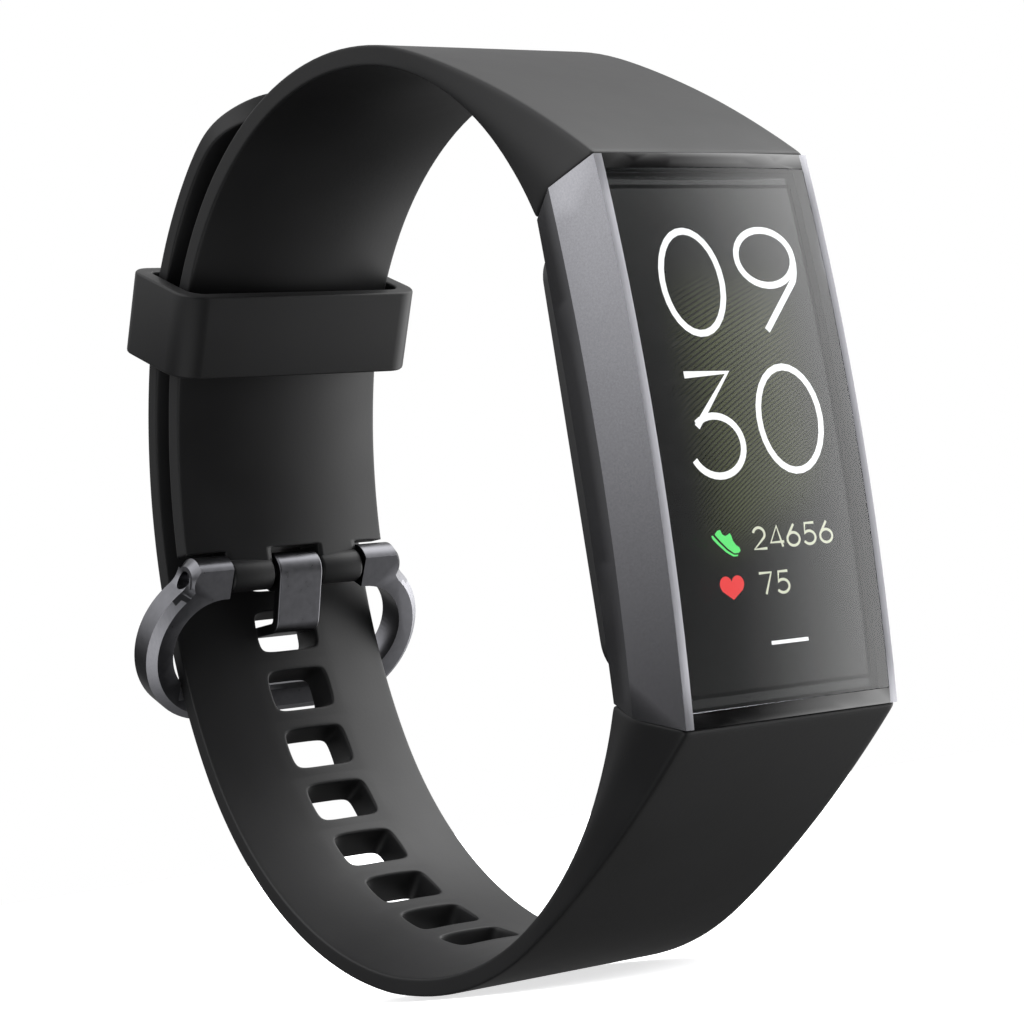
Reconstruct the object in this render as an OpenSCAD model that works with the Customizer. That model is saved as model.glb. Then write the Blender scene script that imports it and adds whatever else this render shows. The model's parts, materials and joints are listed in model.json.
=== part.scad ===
// Fitness tracker band, buckled into a loop as it sits on a wrist.
// Origin: centre of the wrist opening. X runs across the strap, the display faces -Y, +Z runs up the case.

/* [Case] */
// Length of the front face, end seam to end seam
case_len = 41; // [40:0.1:42]
// Width of the front face, polished edges included
face_w = 20.2; // [20:0.1:20.4]
// Width at the widest ridge of the sides
case_w = 22.8; // [22.4:0.1:23.4]
// Depth of the housing at the end seams
case_depth = 7.7; // [7.6:0.05:7.9]
// Depth of the widest ridge behind the front edge
ridge_depth = 4.1; // [3.8:0.1:4.4]
// Radius of the lengthwise bow of the front
bow_r = 195; // [180:5:220]
// Width of the polished edge on each long side of the glass
polish_w = 0.7; // [0.6:0.05:0.8]
// Height of the lip between the glass and each strap
lip_h = 1.1; // [1:0.05:1.2]
// Tilt of the end seams, in degrees
seam_tilt = 20.3; // [19:0.1:21]

/* [Straps] */
// Width of both straps
strap_w = 20.4; // [20.2:0.1:20.5]
// Thickness of the buckle strap along its edges
upper_edge_t = 1.6; // [1.5:0.05:1.65]
// Thickness of the holed strap along its edges
lower_edge_t = 1.4; // [1.3:0.05:1.45]
// How far the inner face of both straps is crowned in the middle
crown = 1.5; // [1.2:0.05:1.5]
// Distance from one hole to the next along the strap
hole_pitch = 5.45; // [5.3:0.05:5.5]
// Hole size across the strap
hole_w = 6.0; // [5.8:0.1:6.2]
// Hole size along the strap
hole_h = 3.7; // [3.6:0.05:3.8]
// Holes below the one the tongue is in
holes_below = 7; // [5:1:7]
// Holes above the one the tongue is in
holes_above = 4; // [2:1:4]

/* [Buckle] */
// Outer radius of the strap's roll around the spring bar
roll_r = 1.45; // [1.4:0.05:1.5]
// Length of the strap's roll, ear to ear
roll_len = 13.4; // [13:0.1:13.6]
// Radius of the spring bar's tube
bar_r = 0.75; // [0.7:0.01:0.8]
// Width of the tongue
tongue_w = 4.35; // [4.2:0.05:4.5]
// Thickness of the tongue and of its curl
tongue_t = 0.9; // [0.8:0.05:0.95]
// Width of the buckle frame
ring_w = 28; // [27.8:0.1:28.4]
// Reach of the buckle frame below the bar
ring_reach = 13.2; // [13:0.1:13.6]
// Thickness of the buckle frame
ring_t = 2.7; // [2.6:0.05:2.8]
// Tilt of the buckle frame away from the wrist, in degrees
ring_tilt = 31.5; // [31:0.5:32]
// Lean of the tongue away from the wrist, in degrees
tongue_lean = 22; // [20:1:24]

/* [Keeper] */
// Height of the keeper loop along the strap
keeper_h = 7.2; // [6.8:0.1:7.4]
// Wall of the keeper loop
keeper_wall = 1.45; // [1.3:0.05:1.5]
// Place of the keeper on the strap, in degrees around the upper bend
keeper_angle = 28.3; // [28:0.1:32]

/* [Hidden] */
$fn = 64;

// Small gaps: between fixed pieces, around the running fits and round the soft pieces that slide
gap = 0.05;
run_fit = 0.05;
slide_gap = 0.15;
keeper_play = 0.5;
// Overlap that makes a cut run past a face
over = 0.5;

// Loop outline in the YZ plane: bends around the upper and lower corner of the wrist and the back
front_y = -34;
upper_c = [-1.2, 7.5];
lower_c = [0.8, -6];
back_c = [-18, 0.5];
upper_in = 28;
lower_out = 31.3;
upper_out = upper_in + upper_edge_t;
lower_in = lower_out - lower_edge_t;
upper_offset = norm(upper_c - back_c);
lower_offset = norm(lower_c - back_c);
tail_out = lower_out + lower_offset - upper_offset;
tail_in = tail_out - lower_edge_t;
upper_join = atan2(upper_c[1] - back_c[1], upper_c[0] - back_c[0]);
lower_join = atan2(lower_c[1] - back_c[1], lower_c[0] - back_c[0]);
root_angle_upper = 115;
root_angle_lower = -113;
tail_full_angle = 57;
tip_r = 6;

// Housing
seam_y = front_y + case_depth;
bow_c = [front_y + sqrt(bow_r * bow_r - case_len * case_len / 4), 0];
front_crown = 0.35;
half_len = case_len / 2;
cavity_x = 8.8;
cavity_z = 14.9;
glass_t = 1.0;
gasket_t = 0.15;
panel_t = 1.2;
glass_x = face_w / 2 - polish_w;
glass_z = half_len - lip_h;
panel_x = 8.7;
panel_z = 18.1;

// Strap connectors and latches
plug_x = 6.5;
plug_y0 = -30.6;
plug_y1 = -28.2;
plug_z0 = 15.2;
plug_z1 = 22;
button_z = 20.4;
button_w = 4.8;
button_h = 2.4;
button_top = -24.8;
button_len = 1.9;
spring_pocket_r = 0.95;
spring_pocket_depth = 1.4;

// Buckle
bar_c = [27.9, -0.2];
ear_r = 1.8;
ear_gap = 0.15;
ear_in = roll_len / 2 + ear_gap;
ear_out = 10.8;
ring_bevel_w = 0.75;
ring_bevel_d = 0.64;
ring_corner_r = 7;
neck_r = 2;
window_x = 7.3;
window_y = -6;
window_r = 4.45;
tip_pin_r = 0.4;
tube_bore_r = 0.52;
plunger_r = 0.48;
plunger_start = 4.5;
plunger_len = 1.8;
tip_reach = 10.1;
curl_r = bar_r + run_fit + tongue_t;
tongue_slot_x = 2.45;

// Stands a shape drawn in the YZ plane on its axis along X
module about_x(c) {
    translate([0, c[0], c[1]]) rotate([90, 0, 90]) children();
}

module box(low, high) {
    translate(low) cube(high - low);
}

module rounded_plate(x, z, r, y0, y1) {
    translate([0, y1, 0]) rotate([90, 0, 0]) linear_extrude(y1 - y0) {
        square([2 * x, 2 * (z - r)], center = true);
        square([2 * (x - r), 2 * z], center = true);
        for (sx = [-1, 1], sz = [-1, 1]) translate([sx * (x - r), sz * (z - r)]) circle(r);
    }
}

// One section of a strap at a bend's angle: outer edge, edge ridge, then the crowned inner face
function section(c, angle, r_in, r_out, half) =
    let (dir = [cos(angle), sin(angle)])
    [
        [half, c[0] + r_out * dir[0], c[1] + r_out * dir[1]],
        [half, c[0] + (r_in + r_out) / 2 * dir[0], c[1] + (r_in + r_out) / 2 * dir[1]],
        for (u = [1, 0.75, 0.5, 0.25, 0, -0.25, -0.5, -0.75, -1])
            let (r = r_in - crown * (1 - u * u)) [half * u, c[0] + r * dir[0], c[1] + r * dir[1]],
        [-half, c[0] + (r_in + r_out) / 2 * dir[0], c[1] + (r_in + r_out) / 2 * dir[1]],
        [-half, c[0] + r_out * dir[0], c[1] + r_out * dir[1]]
    ];

// Sections of a strap from one angle of a bend to another, the first one left to the stretch before
function bend_sections(c, r_in, r_out, a0, a1, steps) =
    [for (i = [1 : steps]) section(c, a0 + (a1 - a0) * i / steps, r_in, r_out, strap_w / 2)];

// Sections of a strap's thick root: the six-sided seam face runs out into the flat strap at an angle
function root_sections(c, r_in, r_out, angle, lean) =
    let (
        slope = tan(seam_tilt),
        half = strap_w / 2,
        steps = 10,
        seam_out = [front_y, lean * half_len],
        seam_mid = [front_y + ridge_depth, lean * (half_len - ridge_depth * slope)],
        seam_in = [seam_y, lean * (half_len - case_depth * slope)],
        far_out = c + r_out * [cos(angle), sin(angle)],
        far_mid = c + (r_in + r_out) / 2 * [cos(angle), sin(angle)],
        seam_angle = lean * acos((seam_in[0] - c[0]) / norm(seam_in - c)),
        seam_in_r = norm(seam_in - c)
    )
    [for (i = [0 : steps])
        let (
            t = i / steps,
            ease = 1 - pow(1 - t, 2),
            bulge = t * (1 - t) * [-1, lean],
            bend = seam_angle + (angle - seam_angle) * t,
            toward = -[cos(bend), sin(bend)],
            inner = c - (seam_in_r + (r_in - seam_in_r) * ease) * toward,
            outer = seam_out * (1 - t) + far_out * t + 2.3 * bulge,
            ridge = seam_mid * (1 - t) + far_mid * t + 2.0 * bulge,
            w_out = face_w / 2 * (1 - t) + half * t,
            w_ridge = case_w / 2 * (1 - ease) + half * ease,
            w_in = (half - 0.15) * (1 - t) + half * t
        )
        [
            [w_out, outer[0], outer[1]],
            [w_ridge, ridge[0], ridge[1]],
            for (u = [1, 0.75, 0.5, 0.25, 0, -0.25, -0.5, -0.75, -1])
                let (in = inner + crown * ease * (1 - u * u) * toward) [w_in * u, in[0], in[1]],
            [-w_ridge, ridge[0], ridge[1]],
            [-w_out, outer[0], outer[1]]
        ]
    ];

// Skin over a list of sections; lean is -1 where they run the other way round
module loft(rings, lean = 1) {
    n = len(rings[0]);
    steps = len(rings) - 1;
    first = [for (k = [0 : n - 1]) lean > 0 ? k : n - 1 - k];
    last = [for (k = [n - 1 : -1 : 0]) steps * n + (lean > 0 ? k : n - 1 - k)];
    skin = [for (i = [0 : steps - 1], k = [0 : n - 1])
        let (a = i * n + k, b = i * n + (k + 1) % n)
        each lean > 0 ? [[a, a + n, b], [b, a + n, b + n]] : [[a, b, a + n], [b, b + n, a + n]]
    ];
    polyhedron(points = [for (ring = rings) each ring], faces = concat([first], skin, [last]), convexity = 6);
}

// Coil of round wire along +Y, its ends flat enough to sit on
module coil(r, wire, length, turns) {
    around = 6;
    per_turn = 12;
    rings = turns * per_turn;
    pts = [for (i = [0 : rings], k = [0 : around - 1])
        let (a = 360 * i / per_turn, b = 360 * k / around, q = r + wire * cos(b))
        [q * cos(a), wire + (length - 2 * wire) * i / rings + wire * sin(b), q * sin(a)]
    ];
    start = [for (k = [0 : around - 1]) k];
    stop = [for (k = [around - 1 : -1 : 0]) rings * around + k];
    skin = [for (i = [0 : rings - 1], k = [0 : around - 1])
        let (a = i * around + k, b = i * around + (k + 1) % around)
        each [[a, a + around, b], [b, a + around, b + around]]
    ];
    polyhedron(points = pts, faces = concat([start], skin, [stop]), convexity = 10);
}

// ---------- case ----------

// Slice of the bowed front between two depths
module bowed_slab(x, depth0, depth1, swell = 0) {
    steps = 6;
    outer = bow_r - depth0;
    front = [for (i = [0 : steps]) let (u = 1 - 2 * i / steps) [outer + swell * (1 - u * u), u * x]];
    about_x(bow_c) rotate([0, 0, 174]) rotate_extrude(angle = 12, $fn = 360)
        polygon(concat([[bow_r - depth1, -x], [bow_r - depth1, x]], front));
}

module between_seams(shift = 0) {
    big = 60;
    difference() {
        children();
        for (s = [0, 1]) mirror([0, 0, s])
            translate([-big / 2, front_y, half_len - shift]) rotate([-seam_tilt, 0, 0])
                translate([0, -big / 2, 0]) cube([big, big, big / 2]);
    }
}

module case_shell() {
    steps = 6;
    half = face_w / 2;
    ridge = case_w / 2;
    rear_r = bow_r - case_depth - 2;
    front = [for (i = [1 : steps - 1])
        let (u = 1 - 2 * i / steps) [bow_r + front_crown * (1 - u * u), u * half]];
    section = concat(
        [[rear_r, -half + 0.9], [rear_r, half - 0.9], [bow_r - ridge_depth, ridge], [bow_r, half]],
        front,
        [[bow_r, -half], [bow_r - ridge_depth, -ridge]]
    );
    intersection() {
        between_seams() about_x(bow_c) rotate([0, 0, 172]) rotate_extrude(angle = 16, $fn = 360) polygon(section);
        box([-15, front_y - 5, -half_len], [15, seam_y, half_len]);
    }
}

module plug_blank(grow = 0) {
    box([-plug_x - grow, plug_y0 - grow, plug_z0 - grow], [plug_x + grow, plug_y1 + grow, plug_z1 + grow]);
}

module case_frame() {
    color([0.26, 0.27, 0.29]) difference() {
        case_shell();
        intersection() {
            bowed_slab(glass_x, -over, glass_t + gasket_t);
            box([-15, -45, -glass_z], [15, 0, glass_z]);
        }
        intersection() {
            bowed_slab(panel_x + gap, 0, glass_t + panel_t + gap);
            box([-15, -45, -panel_z - gap], [15, 0, panel_z + gap]);
        }
        rounded_plate(cavity_x, cavity_z, 2, front_y, seam_y + 1);
        for (s = [0, 1]) mirror([0, 0, s]) plug_blank(gap);
    }
}

module cover_glass() {
    color([0.03, 0.03, 0.04]) intersection() {
        bowed_slab(glass_x - gap, 0, glass_t, front_crown);
        box([-15, -45, -glass_z + gap], [15, 0, glass_z - gap]);
    }
}

module glass_gasket() {
    color([0.08, 0.08, 0.08]) difference() {
        intersection() {
            bowed_slab(glass_x - gap, glass_t, glass_t + gasket_t);
            box([-15, -45, -glass_z + gap], [15, 0, glass_z - gap]);
        }
        box([-panel_x - gap, -45, -panel_z - gap], [panel_x + gap, 0, panel_z + gap]);
    }
}

module display_panel() {
    color([0.1, 0.12, 0.1]) intersection() {
        bowed_slab(panel_x, glass_t, glass_t + panel_t);
        box([-15, -45, -panel_z], [15, 0, panel_z]);
    }
}

// Ribbon that folds from the back of the display round the chassis edge to the board
module display_flex() {
    thick = 0.15;
    ribbon_w = 6;
    back = -32.25;
    board = -31.3;
    edge = -14.75;
    color([0.75, 0.45, 0.15]) about_x([0, 0]) translate([0, 0, -ribbon_w / 2]) linear_extrude(ribbon_w)
        difference() {
            polygon([[back, -11], [back, edge], [board, edge], [board, -14.4]]);
            polygon([[back + thick, -10], [back + thick, edge + thick], [board - thick, edge + thick],
                [board - thick, -14], [board + 1, -14], [board + 1, -10]]);
        }
}

module inner_chassis() {
    color([0.15, 0.15, 0.16]) difference() {
        rounded_plate(cavity_x - gap, 14.4, 1.8, -32.0, -31.5);
        for (z = [-12.5, 12.5]) translate([0, -31, z]) rotate([90, 0, 0]) cylinder(r = 0.7, h = 2);
    }
}

module main_board() {
    color([0.05, 0.25, 0.15]) difference() {
        rounded_plate(7.8, 14.2, 1, -31.3, -30.5);
        for (z = [-13, 13]) translate([6.2, -30, z]) rotate([90, 0, 0]) cylinder(r = 0.55, h = 2);
    }
}

// Controller, flash memory and motion sensor, all above the battery
module board_chips() {
    color([0.12, 0.12, 0.13]) {
        box([-5.6, -30.45, 7.6], [-0.6, -29.5, 12.6]);
        box([0.4, -30.45, 7.4], [4.4, -29.7, 10.2]);
        box([0.4, -30.45, 10.8], [3.4, -29.8, 12.8]);
    }
}

// Two countersunk screws that hold the board to the chassis
module board_screws() {
    color([0.7, 0.7, 0.72]) for (z = [-13, 13]) translate([6.2, -30.5, z]) rotate([90, 0, 0]) {
        translate([0, 0, -0.4]) difference() {
            cylinder(r = 0.9, h = 0.4 - gap / 2);
            translate([-0.65, -0.12, -0.1]) cube([1.3, 0.24, 0.25]);
            translate([-0.12, -0.65, -0.1]) cube([0.24, 1.3, 0.25]);
        }
        cylinder(r = 0.5, h = 0.9);
        translate([0, 0, -gap]) cylinder(r = 0.5, h = 2 * gap);
    }
}

module antenna_strip() {
    color([0.8, 0.55, 0.2]) box([-5.6, -30.4, 13.7], [4.8, -28.2, 13.95]);
}

module battery() {
    half_z = 8.8;
    color([0.72, 0.74, 0.76]) translate([0, 0, -2.8]) {
        rounded_plate(7, half_z, 0.8, -30.3, -27.4);
        box([-5, -29.6, half_z - gap], [5, -28.2, half_z + 0.6]);
    }
}

module battery_tape() {
    color([0.9, 0.85, 0.6]) box([-6, -30.5 + gap, -10], [6, -30.3, 4]);
}

module vibration_motor() {
    color([0.6, 0.6, 0.62]) translate([5.2, -27.5, 11.4]) {
        rotate([90, 0, 0]) cylinder(r = 2.2, h = 1.9);
        rotate([90, 0, 0]) cylinder(r = 1.2, h = 2.1);
    }
}

module back_cover() {
    color([0.09, 0.09, 0.1]) difference() {
        union() {
            rounded_plate(9.3, 16.2, 3, seam_y, seam_y + 1.2);
            rounded_plate(8.3, 14.9, 3, seam_y + 1.1, seam_y + 1.9);
            rounded_plate(7.9, 14.1, 1.6, seam_y - 0.9, seam_y + 0.5);
        }
        rounded_plate(7.1, 13.4, 1.2, seam_y - 2, seam_y + 0.7);
        translate([0, seam_y + 3, 0]) rotate([90, 0, 0]) cylinder(r = 4.6 + gap, h = 1.9);
        translate([0, seam_y + 3, 0]) rotate([90, 0, 0]) cylinder(r = 3.8, h = 3);
        for (x = [-1.6, 1.6]) translate([x, seam_y + 3, -11]) rotate([90, 0, 0]) cylinder(r = 0.9, h = 4);
    }
}

module back_seal() {
    color([0.05, 0.05, 0.05]) difference() {
        rounded_plate(cavity_x - 0.02, cavity_z - 0.02, 1.9, seam_y - 0.8, seam_y - 0.1);
        rounded_plate(7.92, 14.12, 1.6, seam_y - 2, seam_y + 1);
    }
}

module sensor_window() {
    color([0.05, 0.05, 0.06]) translate([0, seam_y + 2.3, 0]) rotate([90, 0, 0]) {
        cylinder(r1 = 4.2, r2 = 4.6, h = 0.4);
        translate([0, 0, 0.4]) cylinder(r = 4.6, h = 0.75);
    }
}

module sensor_board() {
    color([0.05, 0.25, 0.15]) rounded_plate(4.6, 5, 0.8, seam_y - 0.6, seam_y - 0.2);
}

module sensor_leds() {
    color([0.2, 0.8, 0.3]) for (s = [-1, 1])
        box([s * 2.5 - 0.7, seam_y - 0.2, -0.7], [s * 2.5 + 0.7, seam_y + 0.5, 0.7]);
}

module photodiode() {
    color([0.1, 0.1, 0.12]) box([-1.2, seam_y - 0.2, -1.2], [1.2, seam_y + 0.4, 1.2]);
}

module charging_contacts() {
    color([0.85, 0.7, 0.35]) for (x = [-1.6, 1.6])
        translate([x, seam_y + 2, -11]) rotate([90, 0, 0]) {
            cylinder(r1 = 0.7, r2 = 0.88, h = 0.3);
            translate([0, 0, 0.3]) cylinder(r = 0.88, h = 1.2);
        }
}

// ---------- strap connectors and their latches ----------

module connector() {
    color([0.13, 0.13, 0.14]) difference() {
        plug_blank();
        translate([0, plug_y1 + over, button_z]) rotate([90, 0, 0])
            cylinder(r = spring_pocket_r, h = spring_pocket_depth + over);
        for (s = [-1, 1]) box([s * 4.6 - 0.7, plug_y0 - 1, 16.3], [s * 4.6 + 0.7, plug_y1 + 1, 17.3]);
    }
}

module latch_button() {
    y0 = button_top - button_len;
    color([0.16, 0.16, 0.17]) {
        translate([0, 0, button_z]) rounded_plate(button_w / 2, button_h / 2, 1, y0, button_top);
        translate([0, 0, button_z]) rounded_plate(1.6, 0.5, 0.3, button_top - gap, button_top + 0.15);
    }
}

module latch_spring() {
    floor_y = plug_y1 - spring_pocket_depth;
    color([0.75, 0.75, 0.77]) translate([0, floor_y + gap, button_z])
        coil(0.68, 0.12, button_top - button_len - floor_y - 2 * gap, 5);
}

module upper_connector() { connector(); }
module upper_latch_button() { latch_button(); }
module upper_latch_spring() { latch_spring(); }
module lower_connector() { mirror([0, 0, 1]) connector(); }
module lower_latch_button() { mirror([0, 0, 1]) latch_button(); }
module lower_latch_spring() { mirror([0, 0, 1]) latch_spring(); }

// Room that a strap leaves for its connector and for the latch button
module connector_room() {
    plug_blank();
    translate([0, 0, button_z])
        rounded_plate(button_w / 2 + slide_gap, button_h / 2 + slide_gap, 1, plug_y1 - over, -18);
}

// ---------- straps ----------

module upper_strap() {
    bar_angle = asin((bar_c[1] - back_c[1]) / (upper_in + upper_offset));
    notch_z = bar_c[1] + ear_r + 2 * ear_gap;
    notch_x = [roll_len / 2, 20];
    color([0.12, 0.12, 0.13]) difference() {
        union() {
            loft(concat(
                root_sections(upper_c, upper_in, upper_out, root_angle_upper, 1),
                bend_sections(upper_c, upper_in, upper_out, root_angle_upper, upper_join, 23),
                bend_sections(back_c, upper_in + upper_offset, upper_out + upper_offset, upper_join, bar_angle, 10)
            ));
            about_x(bar_c) cylinder(r = roll_r, h = roll_len, center = true);
        }
        connector_room();
        about_x(bar_c) cylinder(r = bar_r + 0.02, h = 40, center = true);
        for (s = [0, 1]) mirror([s, 0, 0]) box([notch_x[0], 20, -5], [notch_x[1], 40, notch_z]);
        box([-tongue_slot_x, 20, -5], [tongue_slot_x, 40, bar_c[1] + curl_r + ear_gap]);
    }
}

// Angle around a bend after walking a length along the crowned face from the hole that holds the tongue
function walk_angle(s) =
    let (
        start = -6.7,
        back_face = lower_in + lower_offset - crown,
        down = (start - lower_join) / 180 * PI * back_face,
        up = (upper_join - start) / 180 * PI * back_face
    )
    s < -down ? [lower_c, lower_in, lower_join + (s + down) / (lower_in - crown) * 180 / PI]
    : s > up ? [upper_c, tail_in, upper_join + (s - up) / (tail_in - crown) * 180 / PI]
    : [back_c, lower_in + lower_offset, start + s / back_face * 180 / PI];

module strap_hole(s) {
    place = walk_angle(s);
    about_x(place[0]) rotate([0, 0, place[2]]) translate([place[1] - 4, 0, 0]) rotate([0, 90, 0])
        linear_extrude(8) {
            r = 1;
            square([hole_w, hole_h - 2 * r], center = true);
            square([hole_w - 2 * r, hole_h], center = true);
            for (sx = [-1, 1], sy = [-1, 1])
                translate([sx * (hole_w / 2 - r), sy * (hole_h / 2 - r)]) circle(r);
        }
}

module lower_strap() {
    back_in = lower_in + lower_offset;
    back_out = lower_out + lower_offset;
    tip_steps = 8;
    // The tip's corners follow a quarter circle of tip_r
    tip = [for (i = [1 : tip_steps])
        let (
            turn = 90 * i / tip_steps,
            along = tip_r * sin(turn),
            half = strap_w / 2 - tip_r * (1 - cos(turn)) - (i == tip_steps ? 0.1 : 0)
        )
        section(upper_c, tail_full_angle + along / tail_out * 180 / PI, tail_in, tail_out, half)
    ];
    color([0.12, 0.12, 0.13]) difference() {
        loft(concat(
            root_sections(lower_c, lower_in, lower_out, root_angle_lower, -1),
            bend_sections(lower_c, lower_in, lower_out, root_angle_lower, lower_join, 23),
            bend_sections(back_c, back_in, back_out, lower_join, upper_join, 16),
            bend_sections(upper_c, tail_in, tail_out, upper_join, tail_full_angle, 9),
            tip
        ), -1);
        mirror([0, 0, 1]) connector_room();
        for (i = [-holes_below : holes_above]) strap_hole(i * hole_pitch);
    }
}

module keeper_loop() {
    r0 = upper_in - crown - slide_gap - 0.25;
    r1 = tail_out + 2 * slide_gap;
    x = strap_w / 2 + keeper_play;
    wall = keeper_wall;
    color([0.11, 0.11, 0.12]) about_x(upper_c) rotate([0, 0, keeper_angle]) rotate([90, 0, 0])
        translate([0, 0, -keeper_h / 2]) linear_extrude(keeper_h) difference() {
            rounded_rect(r0 - wall, r1 + wall, x + wall, 2.4, 1.9);
            rounded_rect(r0, r1, x, 1.2, 0.45);
        }
}

// Rectangle from u0 to u1 and from -v to v, its two ends rounded to different radii
module rounded_rect(u0, u1, v, r0, r1) {
    translate([u0 + r0, -v]) square([u1 - u0 - r0 - r1, 2 * v]);
    translate([u0, r0 - v]) square([r0 + 0.1, 2 * (v - r0)]);
    translate([u1 - r1 - 0.1, r1 - v]) square([r1 + 0.1, 2 * (v - r1)]);
    for (s = [-1, 1]) {
        translate([u0 + r0, s * (v - r0)]) circle(r0);
        translate([u1 - r1, s * (v - r1)]) circle(r1);
    }
}

// ---------- buckle ----------

module spring_bar_tube() {
    color([0.55, 0.56, 0.58]) about_x(bar_c) difference() {
        cylinder(r = bar_r, h = roll_len - 0.1, center = true);
        cylinder(r = tube_bore_r, h = roll_len, center = true);
    }
}

module spring_bar_spring() {
    length = 2 * (plunger_start - gap);
    color([0.75, 0.75, 0.77]) translate([length / 2, bar_c[0], bar_c[1]]) rotate([0, 0, 90]) coil(0.34, 0.1, length, 13);
}

module bar_tip() {
    plunger_end = plunger_start + plunger_len;
    about_x(bar_c) {
        translate([0, 0, plunger_start]) cylinder(r = plunger_r, h = plunger_len);
        translate([0, 0, plunger_end - gap]) cylinder(r = tip_pin_r, h = tip_reach - plunger_end + gap);
    }
}

module spring_bar_tip_left() { color([0.62, 0.63, 0.65]) mirror([1, 0, 0]) bar_tip(); }
module spring_bar_tip_right() { color([0.62, 0.63, 0.65]) bar_tip(); }

// Layer of the buckle frame in its own plane: x across, y up from the bar; the outline draws in as z rises
module ring_layer(z, h, inset0, inset1) {
    x = ring_w / 2 - ring_corner_r;
    y = ring_corner_r - ring_reach;
    neck_x = ear_out + neck_r;
    neck_y = y + sqrt(pow(ring_corner_r + neck_r, 2) - pow(neck_x - x, 2));
    meet = [x, y] + ring_corner_r / (ring_corner_r + neck_r) * [neck_x - x, neck_y - y];
    difference() {
        union() {
            for (s = [-1, 1]) translate([s * x, y, z])
                cylinder(r1 = ring_corner_r - inset0, r2 = ring_corner_r - inset1, h = h);
            translate([-x, 0, 0]) rotate([90, 0, 90]) linear_extrude(2 * x) polygon([
                [inset0 - ring_reach, z], [inset1 - ring_reach, z + h], [y, z + h], [y, z]
            ]);
            rotate([90, 0, 0]) linear_extrude(-y) polygon([
                [inset0 - ear_out, z], [inset1 - ear_out, z + h], [ear_out - inset1, z + h], [ear_out - inset0, z]
            ]);
            for (s = [0, 1]) mirror([s, 0, 0]) translate([0, 0, z]) linear_extrude(h)
                polygon([[window_x, neck_y], [ear_out, neck_y], meet, [window_x, y / 2]]);
        }
        for (s = [-1, 1]) translate([s * neck_x, neck_y, z])
            cylinder(r1 = neck_r + inset0, r2 = neck_r + inset1, h = h);
    }
}

// Round ear about the bar, its outer rim bevelled
module ring_ear() {
    rotate([0, 90, 0]) {
        translate([0, 0, ear_in]) cylinder(r = ear_r, h = ear_out - ring_bevel_d - ear_in);
        translate([0, 0, ear_out - ring_bevel_d]) cylinder(r1 = ear_r, r2 = ear_r - ring_bevel_d, h = ring_bevel_d);
    }
}

module buckle_frame() {
    strap_room = 0.3;
    recess_r = 0.75;
    recess_x = tip_reach + 0.1;
    color([0.3, 0.3, 0.32]) difference() {
        translate([0, bar_c[0], bar_c[1]]) rotate([90 + ring_tilt, 0, 0]) difference() {
            union() {
                ring_layer(-ring_t / 2, ring_t - ring_bevel_d, 0, 0);
                ring_layer(ring_t / 2 - ring_bevel_d, ring_bevel_d, 0, ring_bevel_w);
                for (s = [0, 1]) mirror([s, 0, 0]) ring_ear();
            }
            for (s = [-1, 1]) translate([s * window_x, window_y, -ring_t]) cylinder(r = window_r, h = 2 * ring_t);
            box([-window_x, window_y - window_r, -ring_t], [window_x, window_y + window_r, ring_t]);
            box([-ear_in, window_y, -ring_t], [ear_in, 2 * ear_r, ring_t]);
            box([-ring_w, -ring_reach, ring_t / 2], [ring_w, 2 * ear_r, ring_t]);
        }
        about_x(bar_c) cylinder(r = tip_pin_r + run_fit, h = 40, center = true);
        for (s = [0, 1]) mirror([s, 0, 0]) about_x(bar_c) translate([0, 0, recess_x]) cylinder(r = recess_r, h = 3);
        about_x(back_c) difference() {
            cylinder(r = lower_out + lower_offset + strap_room, h = strap_w + 2 * strap_room, center = true);
            cylinder(r = lower_in + lower_offset - crown - strap_room, h = strap_w + 3, center = true);
        }
    }
}

// Strip curled round the bar; it runs down the wrist side and turns out through the strap's hole
module buckle_tongue() {
    inner_r = bar_r + run_fit;
    mid_r = inner_r + tongue_t / 2;
    bend_r = 0.9;
    drop = 4.1;
    tip_out = 4.1;
    steps = 8;
    side = [cos(tongue_lean), sin(tongue_lean)];
    start = -mid_r * side;
    knee = start + drop * [side[1], -side[0]];
    bend_c = knee + bend_r * side;
    path = concat(
        [[start, side]],
        [for (i = [0 : steps])
            let (turn = tongue_lean + (90 - tongue_lean) * i / steps, dir = [cos(turn), sin(turn)])
            [bend_c - bend_r * dir, dir]
        ],
        [[[tip_out, bend_c[1] - bend_r], [0, 1]]]
    );
    last = len(path) - 1;
    color([0.3, 0.3, 0.32]) about_x(bar_c) translate([0, 0, -tongue_w / 2]) linear_extrude(tongue_w) difference() {
        union() {
            circle(curl_r);
            polygon(concat(
                [for (p = path) p[0] - tongue_t / 2 * p[1]],
                [for (i = [0 : last]) path[last - i][0] + tongue_t / 2 * path[last - i][1]]
            ));
            translate(path[last][0]) circle(tongue_t / 2);
        }
        circle(inner_r);
    }
}

case_frame();
cover_glass();
glass_gasket();
display_panel();
display_flex();
inner_chassis();
main_board();
board_chips();
board_screws();
antenna_strip();
battery();
battery_tape();
vibration_motor();
back_cover();
back_seal();
sensor_window();
sensor_board();
sensor_leds();
photodiode();
charging_contacts();
upper_connector();
upper_latch_button();
upper_latch_spring();
lower_connector();
lower_latch_button();
lower_latch_spring();
upper_strap();
lower_strap();
keeper_loop();
spring_bar_tube();
spring_bar_spring();
spring_bar_tip_left();
spring_bar_tip_right();
buckle_frame();
buckle_tongue();
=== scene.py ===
import json
import math
import bpy
import bmesh
from mathutils import Matrix, Vector


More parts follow.
